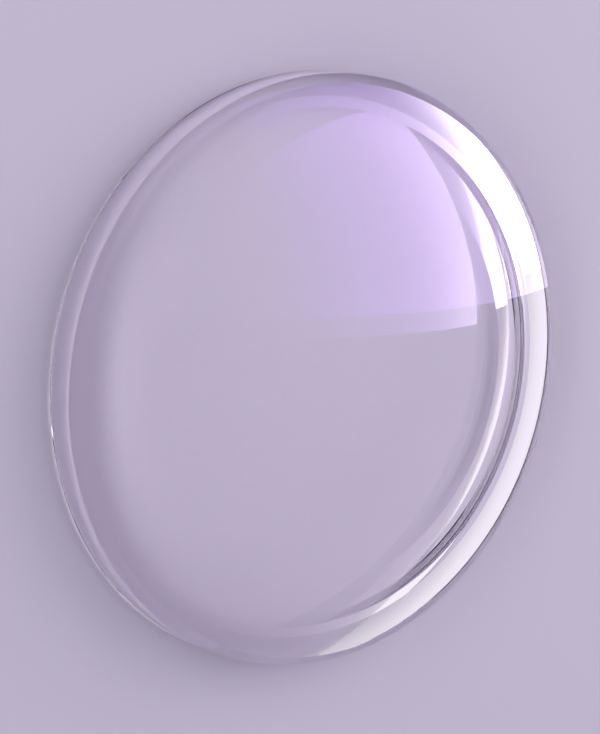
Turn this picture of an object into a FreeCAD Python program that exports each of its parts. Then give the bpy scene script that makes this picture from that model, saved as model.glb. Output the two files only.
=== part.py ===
import FreeCAD, Part

import math
import os

import Sketcher

# A single vision spectacle lens as the maker delivers it: round, uncut and minus powered.
# It is one moulded piece, a meniscus with two spherical faces. It lies on the rim of its
# hollow back face, so the domed front face looks up (+Z). The origin is on the lens axis,
# in the plane of the back rim. All lengths are in millimetres.

SIZES = {
    "diameter": 70.0,           # outside diameter of the uncut lens
    "front_radius": 78.0,       # radius of curvature of the domed front face
    "back_radius": 57.5,        # radius of curvature of the hollow back face
    "centre_thickness": 2.0,    # distance between the two faces on the axis
    "front_bevel": 1.1,         # leg of the 45 degree bevel that breaks the front rim
    "back_bevel": 0.35,         # leg of the 45 degree bevel that breaks the back rim
    "rim_land": 0.5,            # width of the flat ring around the hollow, on which the lens lies
}

LENS = "lens"
SHEET = "sizes"

doc = FreeCAD.newDocument("single_vision_lens")

sheet = doc.addObject("Spreadsheet::Sheet", SHEET)
for row, (alias, value) in enumerate(SIZES.items(), start=1):
    sheet.set(f"A{row}", alias)
    sheet.set(f"B{row}", str(value))
    sheet.setAlias(f"B{row}", alias)
doc.recompute()


def sag(radius, reach):
    """Depth of a spherical face of this radius, from its vertex to the circle at this reach."""
    return radius - math.sqrt(radius**2 - reach**2)


def origin_plane(body, role):
    """The body's own origin plane with this role."""
    return next(plane for plane in body.Origin.OriginFeatures if plane.Role == role)


def add_section(body):
    """Half section of the lens, drawn beside the axis: x is the distance from it, y the height."""
    rim = sheet.diameter / 2
    front_edge = rim - sheet.front_bevel
    back_edge = rim - sheet.back_bevel
    hollow_edge = back_edge - sheet.rim_land

    # Heights above the plane of the back rim. The edge thickness follows from the two curves.
    back_vertex = sag(sheet.back_radius, hollow_edge)
    front_vertex = back_vertex + sheet.centre_thickness
    edge_thickness = front_vertex - sag(sheet.front_radius, front_edge)

    corners = {
        "front_vertex": FreeCAD.Vector(0, front_vertex, 0),
        "front_edge": FreeCAD.Vector(front_edge, edge_thickness, 0),
        "wall_top": FreeCAD.Vector(rim, edge_thickness - sheet.front_bevel, 0),
        "wall_foot": FreeCAD.Vector(rim, sheet.back_bevel, 0),
        "back_edge": FreeCAD.Vector(back_edge, 0, 0),
        "hollow_edge": FreeCAD.Vector(hollow_edge, 0, 0),
        "back_vertex": FreeCAD.Vector(0, back_vertex, 0),
    }

    sketch = body.newObject("Sketcher::SketchObject", "half_section")
    sketch.AttachmentSupport = [(origin_plane(body, "XZ_Plane"), "")]
    sketch.MapMode = "FlatFace"

    def add_line(start, end):
        return sketch.addGeometry(Part.LineSegment(corners[start], corners[end]))

    def add_face_arc(vertex, edge, radius):
        """Arc of a spherical face, from its outer edge up to its vertex on the axis."""
        centre = corners[vertex] - FreeCAD.Vector(0, radius, 0)
        outward = corners[edge] - centre
        circle = Part.Circle(centre, FreeCAD.Vector(0, 0, 1), radius)
        return sketch.addGeometry(Part.ArcOfCircle(circle, math.atan2(outward.y, outward.x), math.pi / 2))

    front = add_face_arc("front_vertex", "front_edge", sheet.front_radius)
    front_bevel = add_line("front_edge", "wall_top")
    wall = add_line("wall_top", "wall_foot")
    back_bevel = add_line("wall_foot", "back_edge")
    land = add_line("back_edge", "hollow_edge")
    back = add_face_arc("back_vertex", "hollow_edge", sheet.back_radius)
    axis = add_line("back_vertex", "front_vertex")

    start, end, middle = 1, 2, 3
    root, vertical = -1, -2

    def hold(kind, *where):
        return sketch.addConstraint(Sketcher.Constraint(kind, *where))

    def hold_size(name, kind, *where_and_value):
        """A dimension of the section, bound to the cell with its name."""
        number = sketch.addConstraint(Sketcher.Constraint(kind, *where_and_value))
        sketch.renameConstraint(number, name)
        sketch.setExpression(f"Constraints.{name}", f"{SHEET}.{name}")

    hold("Coincident", front, start, front_bevel, start)
    hold("Coincident", front_bevel, end, wall, start)
    hold("Coincident", wall, end, back_bevel, start)
    hold("Coincident", back_bevel, end, land, start)
    hold("Coincident", land, end, back, start)
    hold("Coincident", back, end, axis, start)
    hold("Coincident", axis, end, front, end)
    hold("PointOnObject", axis, start, vertical)
    hold("PointOnObject", axis, end, vertical)
    hold("PointOnObject", front, middle, vertical)
    hold("PointOnObject", back, middle, vertical)
    hold("PointOnObject", land, start, root)
    hold("PointOnObject", land, end, root)
    hold("Vertical", wall)

    hold_size("front_radius", "Radius", front, sheet.front_radius)
    hold_size("back_radius", "Radius", back, sheet.back_radius)
    hold_size("centre_thickness", "DistanceY", axis, start, axis, end, sheet.centre_thickness)
    hold_size("rim_land", "DistanceX", land, end, land, start, sheet.rim_land)
    hold_size("back_bevel", "DistanceX", back_bevel, end, back_bevel, start, sheet.back_bevel)
    hold_size("front_bevel", "DistanceX", front_bevel, start, front_bevel, end, sheet.front_bevel)

    # Both bevels stand at 45 degrees, so each is as high as it is wide.
    back_height = hold("DistanceY", back_bevel, end, back_bevel, start, sheet.back_bevel)
    sketch.setExpression(f"Constraints[{back_height}]", f"{SHEET}.back_bevel")
    front_height = hold("DistanceY", front_bevel, end, front_bevel, start, sheet.front_bevel)
    sketch.setExpression(f"Constraints[{front_height}]", f"{SHEET}.front_bevel")
    rim_radius = hold("DistanceX", root, start, wall, end, rim)
    sketch.setExpression(f"Constraints[{rim_radius}]", f"{SHEET}.diameter / 2")
    return sketch


def build_lens():
    """The moulded lens: its half section turned once around the axis."""
    body = doc.addObject("PartDesign::Body", LENS)
    body.Label = LENS
    body.Placement = FreeCAD.Placement()
    section = add_section(body)
    doc.recompute()
    turned = body.newObject("PartDesign::Revolution", "turned_lens")
    turned.Profile = section
    turned.ReferenceAxis = (section, ["V_Axis"])
    turned.Angle = 360
    body.Tip = turned
    return body


parts = [build_lens()]
doc.recompute()

for item in doc.Objects:
    if "Invalid" in item.State or "Error" in item.State:
        raise RuntimeError(f"{item.Label} did not recompute: {item.State}")
for part in parts:
    if part.Shape.isNull() or not part.Shape.isValid() or len(part.Shape.Solids) != 1:
        raise RuntimeError(f"{part.Label} is not one sound solid")

os.makedirs("parts", exist_ok=True)
for part in parts:
    part.Shape.exportStep(f"parts/{part.Label}.step")
    size = part.Shape.BoundBox
    print(f"{part.Label}: {size.XLength:.3f} x {size.YLength:.3f} x {size.ZLength:.3f} mm,"
          f" {part.Shape.Volume / 1000:.3f} cm3")
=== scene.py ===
import math

import bpy
import numpy as np
from mathutils import Matrix, Vector


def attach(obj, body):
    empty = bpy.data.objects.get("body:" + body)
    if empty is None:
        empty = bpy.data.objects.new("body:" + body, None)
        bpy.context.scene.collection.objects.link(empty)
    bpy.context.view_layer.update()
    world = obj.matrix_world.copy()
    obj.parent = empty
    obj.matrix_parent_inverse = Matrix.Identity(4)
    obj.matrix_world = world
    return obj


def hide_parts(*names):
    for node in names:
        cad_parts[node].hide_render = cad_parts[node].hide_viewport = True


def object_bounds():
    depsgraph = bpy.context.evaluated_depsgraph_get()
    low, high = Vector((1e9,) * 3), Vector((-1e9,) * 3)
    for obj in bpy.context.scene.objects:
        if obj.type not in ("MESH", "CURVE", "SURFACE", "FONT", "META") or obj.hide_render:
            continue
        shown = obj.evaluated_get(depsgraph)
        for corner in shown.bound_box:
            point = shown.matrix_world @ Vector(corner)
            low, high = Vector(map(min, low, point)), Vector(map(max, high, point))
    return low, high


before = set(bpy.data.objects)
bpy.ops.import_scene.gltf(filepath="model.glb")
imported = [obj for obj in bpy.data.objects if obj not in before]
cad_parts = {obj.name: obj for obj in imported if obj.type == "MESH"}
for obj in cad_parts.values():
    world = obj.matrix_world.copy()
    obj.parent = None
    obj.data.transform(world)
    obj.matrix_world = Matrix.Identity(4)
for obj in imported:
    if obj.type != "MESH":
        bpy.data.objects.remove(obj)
cad_low, cad_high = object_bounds()

# A single vision spectacle lens, round and uncut, lying on its back rim with the domed front up.
# Lengths are in metres. The lens axis is Z, and Z = 0 is the plane of the back rim.
MM = 0.001

NODE = "lens"

# The lens, in the same sizes as its construction.
RIM_RADIUS = (cad_high.x - cad_low.x) / 2
FRONT_RADIUS = 78.0 * MM
BACK_RADIUS = 57.5 * MM
CENTRE_THICKNESS = 2.0 * MM
FRONT_BEVEL = 1.1 * MM
BACK_BEVEL = 0.35 * MM
RIM_LAND = 0.5 * MM
ARRIS = 0.12 * MM           # how much the polisher's cloth rounds each sharp edge

RINGS_ON_FACE = 40          # mesh rings on each spherical face
RINGS_ON_ARRIS = 5          # mesh rings on each rounded edge
SEGMENTS = 900              # mesh segments once around

# Clear cast resin, and the violet that its anti-reflection coating leaves in a mirror image.
RESIN_INDEX = 1.5
RESIN_COLOUR = (0.99, 0.97, 1.0, 1.0)
COATING_COLOUR = (0.41, 0.05, 1.0, 1.0)

# Matt lilac paper under the lens. The gap keeps it clear of the back rim.
PAPER_COLOUR = (0.53, 0.50, 0.59, 1.0)
PAPER_ROUGHNESS = 0.9
PAPER_SHINE = 0.2
PAPER_HALF_SIDE = 3.0
PAPER_GAP = 0.02 * MM

# The photograph's point of view, as a camera that looks down on the lying lens.
PICTURE_WIDTH, PICTURE_HEIGHT = 600, 734
FOCAL_PIXELS = 3000.0       # focal length in picture pixels: a long lens
CAMERA_ELEVATION = math.radians(52.7)
CAMERA_ROLL = math.radians(105.1)       # +Z points to the right of the picture and 15 degrees down
CAMERA_DISTANCE = 350.9 * MM
CENTRE_RIGHT, CENTRE_UP = 2.9 * MM, -0.65 * MM      # of the front rim, from the picture's centre
CLIP_NEAR, CLIP_FAR = 0.01, 20.0

# The photograph's own directions, seen from the lying lens.
PHOTO_UP = (-0.948, -0.320, -0.003)
PHOTO_AWAY = (-0.185, 0.555, -0.811)
PHOTO_RIGHT = (-0.261, 0.768, 0.585)

# The soft lamp, as the reflections in the lens place it. Its side at PANEL_START is just above
# the floor, and its colours fade from there to PANEL_END.
PANEL_DISTANCE = 500.0 * MM
PANEL_START, PANEL_END = math.radians(54.5), math.radians(149.0)
PANEL_LIFTS = -22.0 * MM, 80.0 * MM     # of its lower edge at both ends, above the rim's lowest point
PANEL_RISE = math.radians(48.0)
PANEL_GLOW = 4.7
PANEL_FADE = (
    (0.0, (1.0, 0.95, 1.0)), (0.18, (1.0, 0.95, 1.0)), (0.47, (0.50, 0.48, 0.53)),
    (0.74, (0.17, 0.16, 0.19)), (1.0, (0.10, 0.095, 0.11)),
)

# The strip lamp on the photograph's left. It lights the floor through the wall and the bevel,
# which draws both along the near rim.
STRIP_DIRECTION = (0.25, -0.80, 0.50)
STRIP_DISTANCE = 500.0 * MM
STRIP_WIDTH, STRIP_HEIGHT = 1100.0 * MM, 100.0 * MM
STRIP_GLOW = 3.2

# The room's light, from the horizon at 0 up towards the zenith at 1.
ROOM_LIGHT = (
    (0.0, (0.97, 0.92, 1.0)), (0.28, (0.86, 0.81, 0.92)),
    (0.48, (0.52, 0.49, 0.57)), (0.80, (0.50, 0.47, 0.55)),
)


def sag(radius, reach):
    """Depth of a spherical face at a distance from its axis: R - sqrt(R^2 - r^2)."""
    return radius - np.sqrt(radius**2 - reach**2)


FRONT_EDGE = RIM_RADIUS - FRONT_BEVEL
BACK_EDGE = RIM_RADIUS - BACK_BEVEL
HOLLOW_EDGE = BACK_EDGE - RIM_LAND
BACK_VERTEX = sag(BACK_RADIUS, HOLLOW_EDGE)
FRONT_VERTEX = BACK_VERTEX + CENTRE_THICKNESS
EDGE_THICKNESS = FRONT_VERTEX - sag(FRONT_RADIUS, FRONT_EDGE)
WALL_TOP = EDGE_THICKNESS - FRONT_BEVEL


def face_run(radius, vertex, reach, count):
    """Points (r, z) and normals of a spherical face, from its axis out to a reach.

    z = vertex - (R - sqrt(R^2 - r^2)), and the normal of the sphere leans out by r / R.
    The rings are evenly spaced along the arc.
    """
    lean = np.linspace(0.0, math.asin(reach / radius), count)
    r = radius * np.sin(lean)
    z = vertex - radius * (1.0 - np.cos(lean))
    return np.stack([r, z], 1), np.stack([np.sin(lean), np.cos(lean)], 1)


def rounded_corner(before, corner, after, radius, count):
    """Arc of a small radius that touches both legs of a corner, with its normals.

    The arc's centre lies on the corner's bisector, radius / sin(half angle) away from the corner.
    """
    to_before = (before - corner) / np.linalg.norm(before - corner)
    to_after = (after - corner) / np.linalg.norm(after - corner)
    bisector = (to_before + to_after) / np.linalg.norm(to_before + to_after)
    half = math.acos(np.clip(to_before @ bisector, -1.0, 1.0))
    centre = corner + bisector * radius / math.sin(half)
    touch_before = corner + to_before * radius / math.tan(half) - centre
    touch_after = corner + to_after * radius / math.tan(half) - centre
    share = np.linspace(0.0, 1.0, count)[:, None]
    turn = math.acos(np.clip(touch_before @ touch_after / radius**2, -1.0, 1.0))
    arc = (np.sin((1 - share) * turn) * touch_before + np.sin(share * turn) * touch_after) / math.sin(turn)
    return centre + arc, arc / radius


def lens_section():
    """Half section of the lens as points (r, z) and normals, from the front vertex to the back one.

    It is the front face's arc, the rounded corners of both bevels, the wall and the land, and the
    back face's arc. The last ring before each face's edge gives the direction of that leg.
    """
    front, front_normals = face_run(FRONT_RADIUS, FRONT_VERTEX, FRONT_EDGE, RINGS_ON_FACE)
    back, back_normals = face_run(BACK_RADIUS, BACK_VERTEX, HOLLOW_EDGE, RINGS_ON_FACE)
    corners = np.array([
        front[-2], (FRONT_EDGE, EDGE_THICKNESS), (RIM_RADIUS, WALL_TOP), (RIM_RADIUS, BACK_BEVEL),
        (BACK_EDGE, 0.0), (HOLLOW_EDGE, 0.0), back[-2],
    ])
    points, normals = [front[:-1]], [front_normals[:-1]]
    for before, corner, after in zip(corners[:-2], corners[1:-1], corners[2:]):
        arc, arc_normals = rounded_corner(before, corner, after, ARRIS, RINGS_ON_ARRIS)
        points.append(arc)
        normals.append(arc_normals)
    points.append(back[-2::-1])
    normals.append(-back_normals[-2::-1])
    return np.concatenate(points), np.concatenate(normals)


def turn_section(name, section, normals, segments):
    """Surface of revolution: (r cos t, r sin t, z), closed with a fan at each pole.

    The normals are those of the section, turned the same way, so faces and arrises shade exactly.
    """
    t = np.arange(segments) * (2.0 * math.pi / segments)
    cos, sin = np.cos(t), np.sin(t)
    rings, ring_normals = section[1:-1], normals[1:-1]

    def turned(values):
        across = values[:, 0, None]
        up = np.broadcast_to(values[:, 1, None], (len(values), segments))
        return np.stack([across * cos, across * sin, up], -1).reshape(-1, 3)

    poles = np.array([[0.0, 0.0, section[0, 1]], [0.0, 0.0, section[-1, 1]]])
    vertices = np.concatenate([turned(rings), poles])
    vertex_normals = np.concatenate([turned(ring_normals), [[0.0, 0.0, 1.0], [0.0, 0.0, -1.0]]])

    ring = np.arange(len(rings) - 1)[:, None] * segments
    here = np.arange(segments)[None]
    there = np.roll(here, -1, axis=1)
    quads = np.stack([ring + here, ring + segments + here, ring + segments + there, ring + there], -1)
    top, bottom = len(vertices) - 2, len(vertices) - 1
    last = (len(rings) - 1) * segments
    column, after = here[0], there[0]
    faces = quads.reshape(-1, 4).tolist()
    faces += np.stack([np.full(segments, top), column, after], 1).tolist()
    faces += np.stack([np.full(segments, bottom), last + after, last + column], 1).tolist()

    mesh = bpy.data.meshes.new(name)
    mesh.from_pydata(vertices, [], faces)
    mesh.polygons.foreach_set("use_smooth", np.ones(len(mesh.polygons), bool))
    mesh.normals_split_custom_set_from_vertices(vertex_normals)
    piece = bpy.data.objects.new(name, mesh)
    bpy.context.scene.collection.objects.link(piece)
    return piece


def coated_resin():
    """Clear cast resin with a violet anti-reflection coating."""
    material = bpy.data.materials.new("coated_resin")
    material.use_nodes = True
    shader = material.node_tree.nodes["Principled BSDF"]
    shader.inputs["Base Color"].default_value = RESIN_COLOUR
    shader.inputs["Roughness"].default_value = 0.0
    shader.inputs["IOR"].default_value = RESIN_INDEX
    shader.inputs["Transmission Weight"].default_value = 1.0
    shader.inputs["Specular Tint"].default_value = COATING_COLOUR
    return material


def lilac_paper():
    """Matt pale lilac paper."""
    material = bpy.data.materials.new("pale_floor")
    material.use_nodes = True
    shader = material.node_tree.nodes["Principled BSDF"]
    shader.inputs["Base Color"].default_value = PAPER_COLOUR
    shader.inputs["Roughness"].default_value = PAPER_ROUGHNESS
    shader.inputs["Specular IOR Level"].default_value = PAPER_SHINE
    return material


def paper_floor():
    """Square floor just under the plane on which the lens lies."""
    corners = [
        (x * PAPER_HALF_SIDE, y * PAPER_HALF_SIDE, 0.0) for x, y in ((-1, -1), (1, -1), (1, 1), (-1, 1))
    ]
    mesh = bpy.data.meshes.new("floor")
    mesh.from_pydata(corners, [], [(0, 1, 2, 3)])
    mesh.materials.append(lilac_paper())
    piece = bpy.data.objects.new("floor", mesh)
    piece.location.z = -PAPER_GAP
    bpy.context.scene.collection.objects.link(piece)


def aim(place, target, roll=0.0):
    """Matrix of a camera or lamp at a place that looks at a target, turned about its line of sight."""
    turn = (target - place).to_track_quat("-Z", "Y").to_matrix().to_4x4()
    return Matrix.Translation(place) @ turn @ Matrix.Rotation(roll, 4, "Z")


def photograph_camera():
    """Camera at the photograph's angle, distance and framing."""
    data = bpy.data.cameras.new("camera")
    data.lens = data.sensor_width * FOCAL_PIXELS / max(PICTURE_WIDTH, PICTURE_HEIGHT)
    data.clip_start, data.clip_end = CLIP_NEAR, CLIP_FAR
    camera = bpy.data.objects.new("camera", data)
    bpy.context.scene.collection.objects.link(camera)
    back = Vector((0.0, -math.cos(CAMERA_ELEVATION), math.sin(CAMERA_ELEVATION)))
    front_rim = Vector((0.0, 0.0, WALL_TOP))
    pose = aim(front_rim + back * CAMERA_DISTANCE, front_rim, CAMERA_ROLL)
    right, up = pose.col[0].to_3d(), pose.col[1].to_3d()
    camera.matrix_world = Matrix.Translation(-right * CENTRE_RIGHT - up * CENTRE_UP) @ pose
    bpy.context.scene.camera = camera


def graded_colour(nodes, links, coordinate, axis, stops):
    """Colour that fades along one axis of a coordinate, between stops of a place and a colour."""
    coords = nodes.new("ShaderNodeTexCoord")
    split = nodes.new("ShaderNodeSeparateXYZ")
    ramp = nodes.new("ShaderNodeValToRGB")
    links.new(coords.outputs[coordinate], split.inputs["Vector"])
    links.new(split.outputs[axis], ramp.inputs["Fac"])
    elements = ramp.color_ramp.elements
    for element, (place, colour) in zip(elements, (stops[0], stops[-1])):
        element.position = place
        element.color = (*colour, 1.0)
    for place, colour in stops[1:-1]:
        elements.new(place).color = (*colour, 1.0)
    return ramp.outputs["Color"]


def lamp_finish():
    """White diffuser of the studio panel, brightest at its start."""
    material = bpy.data.materials.new("studio_panel")
    material.use_nodes = True
    nodes, links = material.node_tree.nodes, material.node_tree.links
    nodes.clear()
    glow = nodes.new("ShaderNodeEmission")
    output = nodes.new("ShaderNodeOutputMaterial")
    links.new(graded_colour(nodes, links, "UV", "X", PANEL_FADE), glow.inputs["Color"])
    links.new(glow.outputs["Emission"], output.inputs["Surface"])
    glow.inputs["Strength"].default_value = PANEL_GLOW
    return material


def studio_panel():
    """Flat soft lamp beside the lens, where the photograph's reflections show it.

    Its lower edge runs from PANEL_START to PANEL_END around the photograph's upright, PANEL_LIFTS
    above the level of the rim's lowest point there, and the panel rises PANEL_RISE above that edge.
    """
    upright, away, right = (Vector(axis) for axis in (PHOTO_UP, PHOTO_AWAY, PHOTO_RIGHT))
    rest = Vector((0.0, 0.0, WALL_TOP)) - upright * RIM_RADIUS
    middle = (PANEL_START + PANEL_END) / 2
    corners = []
    for bearing, lift in zip((PANEL_START, PANEL_END), PANEL_LIFTS):
        reach = PANEL_DISTANCE / math.cos(bearing - middle)
        outward = away * math.cos(bearing) + right * math.sin(bearing)
        corners.append(rest + outward * reach + upright * lift)
    rise = upright * (RIM_RADIUS + PANEL_DISTANCE * math.tan(PANEL_RISE))
    corners += [corners[1] + rise, corners[0] + rise]
    mesh = bpy.data.meshes.new("studio_panel")
    mesh.from_pydata(corners, [], [(3, 2, 1, 0)])
    uv = mesh.uv_layers.new(name="panel")
    uv.data.foreach_set("uv", (0.0, 1.0, 1.0, 1.0, 1.0, 0.0, 0.0, 0.0))
    mesh.materials.append(lamp_finish())
    piece = bpy.data.objects.new("studio_panel", mesh)
    piece.visible_camera = False
    bpy.context.scene.collection.objects.link(piece)


def strip_softbox():
    """Long narrow soft lamp that faces the near rim and is hidden from glossy rays."""
    data = bpy.data.lights.new("strip_softbox", "AREA")
    data.shape = "RECTANGLE"
    data.size, data.size_y = STRIP_WIDTH, STRIP_HEIGHT
    data.energy = STRIP_GLOW * math.pi * STRIP_WIDTH * STRIP_HEIGHT
    lamp = bpy.data.objects.new("strip_softbox", data)
    lamp.visible_camera = False
    lamp.visible_glossy = False
    bpy.context.scene.collection.objects.link(lamp)
    target = Vector((0.0, 0.0, WALL_TOP))
    lamp.matrix_world = aim(target + Vector(STRIP_DIRECTION).normalized() * STRIP_DISTANCE, target)


def studio_world():
    """Even, dim room light, palest at the horizon."""
    world = bpy.data.worlds.new("studio")
    bpy.context.scene.world = world
    world.use_nodes = True
    nodes, links = world.node_tree.nodes, world.node_tree.links
    light = graded_colour(nodes, links, "Generated", "Z", ROOM_LIGHT)
    links.new(light, nodes["Background"].inputs["Color"])


section, section_normals = lens_section()
lens = turn_section("clear_lens", section, section_normals, SEGMENTS)
lens.data.materials.append(coated_resin())
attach(lens, "root")
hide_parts(NODE)

paper_floor()
studio_world()
photograph_camera()
studio_panel()
strip_softbox()

scene = bpy.context.scene
scene.view_settings.view_transform = "Standard"
scene.cycles.blur_glossy = 0.0          # clear resin shows what lies behind it unblurred
scene.cycles.glossy_bounces = 12        # light runs far along the inside of the edge
